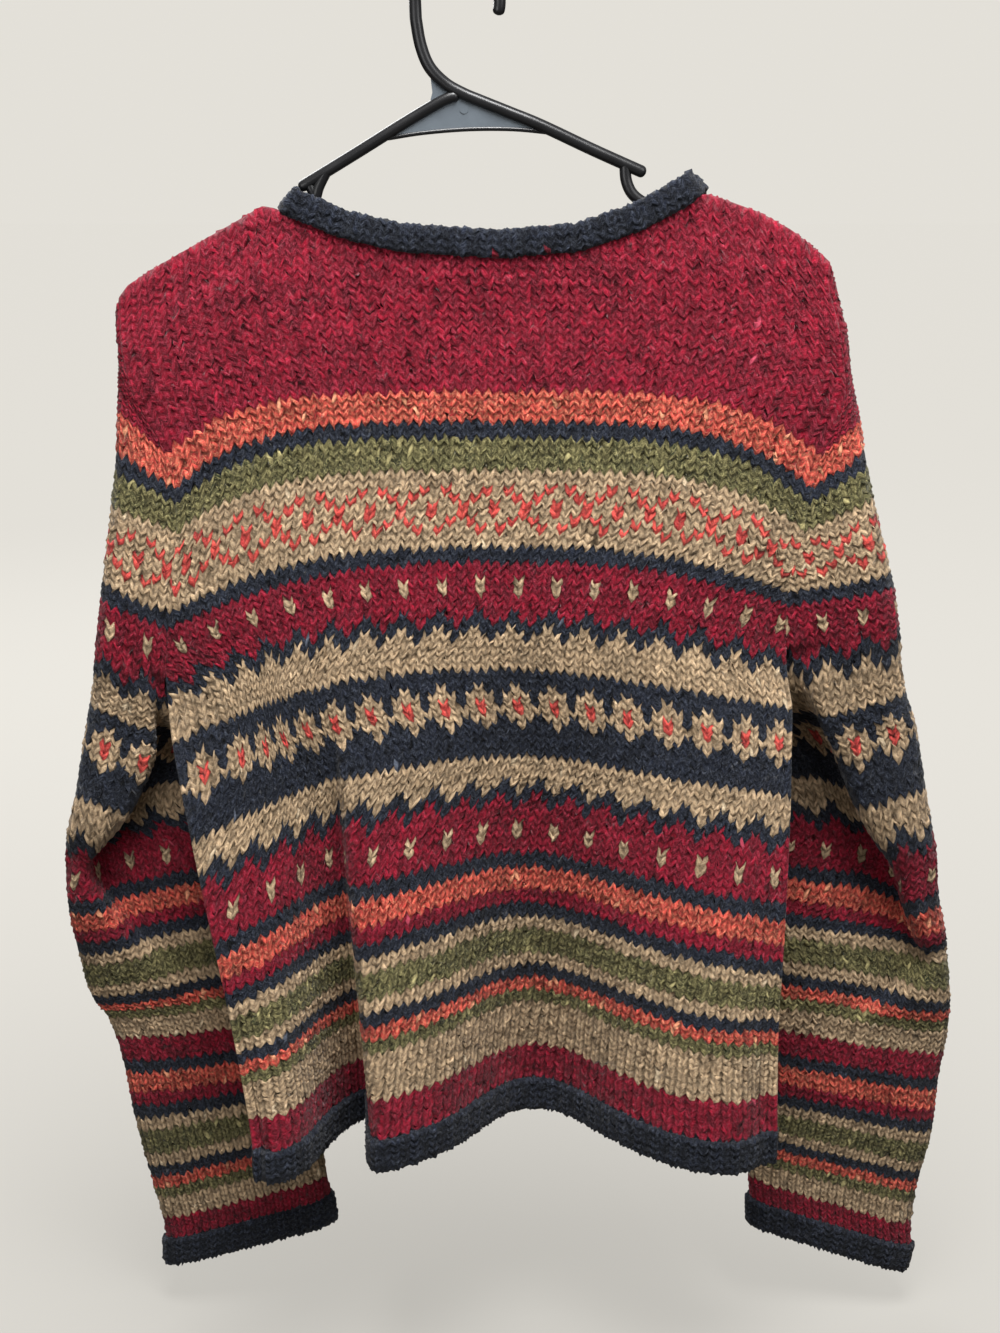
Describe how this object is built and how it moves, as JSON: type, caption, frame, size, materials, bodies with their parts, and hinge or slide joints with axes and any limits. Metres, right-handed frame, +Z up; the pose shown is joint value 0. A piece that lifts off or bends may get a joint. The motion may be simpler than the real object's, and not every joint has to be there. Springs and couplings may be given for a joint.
{
  "type": "fair isle cardigan on a plastic clothes hanger",
  "caption": "Multicolour fair isle knit cardigan hanging from a notched plastic hanger, back view, with ribbed navy neck, hem and cuffs, folded sleeves and a buttoned front.",
  "frame": {"origin": "inside top of the hanger's hook, where a rail bears", "axes": "+Z up; the cardigan's back faces -Y and its front +Y; +X is to the right seen from the back, the wearer's right"},
  "size_m": [0.5979, 0.1339, 0.8911],
  "materials": {
    "fair_isle_knit": "matte",
    "navy_rib": "matte",
    "black_plastic": "satin",
    "button_plastic": "satin"
  },
  "bodies": {
    "root": {"back": "fair_isle_knit", "front_left": "fair_isle_knit", "front_right": "fair_isle_knit", "sleeve_left": "fair_isle_knit", "sleeve_right": "fair_isle_knit", "hem_band_back": "navy_rib", "hem_band_front_left": "navy_rib", "hem_band_front_right": "navy_rib", "cuff_left": "navy_rib", "cuff_right": "navy_rib", "neckband": "navy_rib", "button_band_left": "navy_rib", "button_band_right": "navy_rib", "button_1": "button_plastic", "button_2": "button_plastic", "button_3": "button_plastic", "button_4": "button_plastic", "button_5": "button_plastic", "button_6": "button_plastic", "hanger": "black_plastic"}
  },
  "joints": []
}
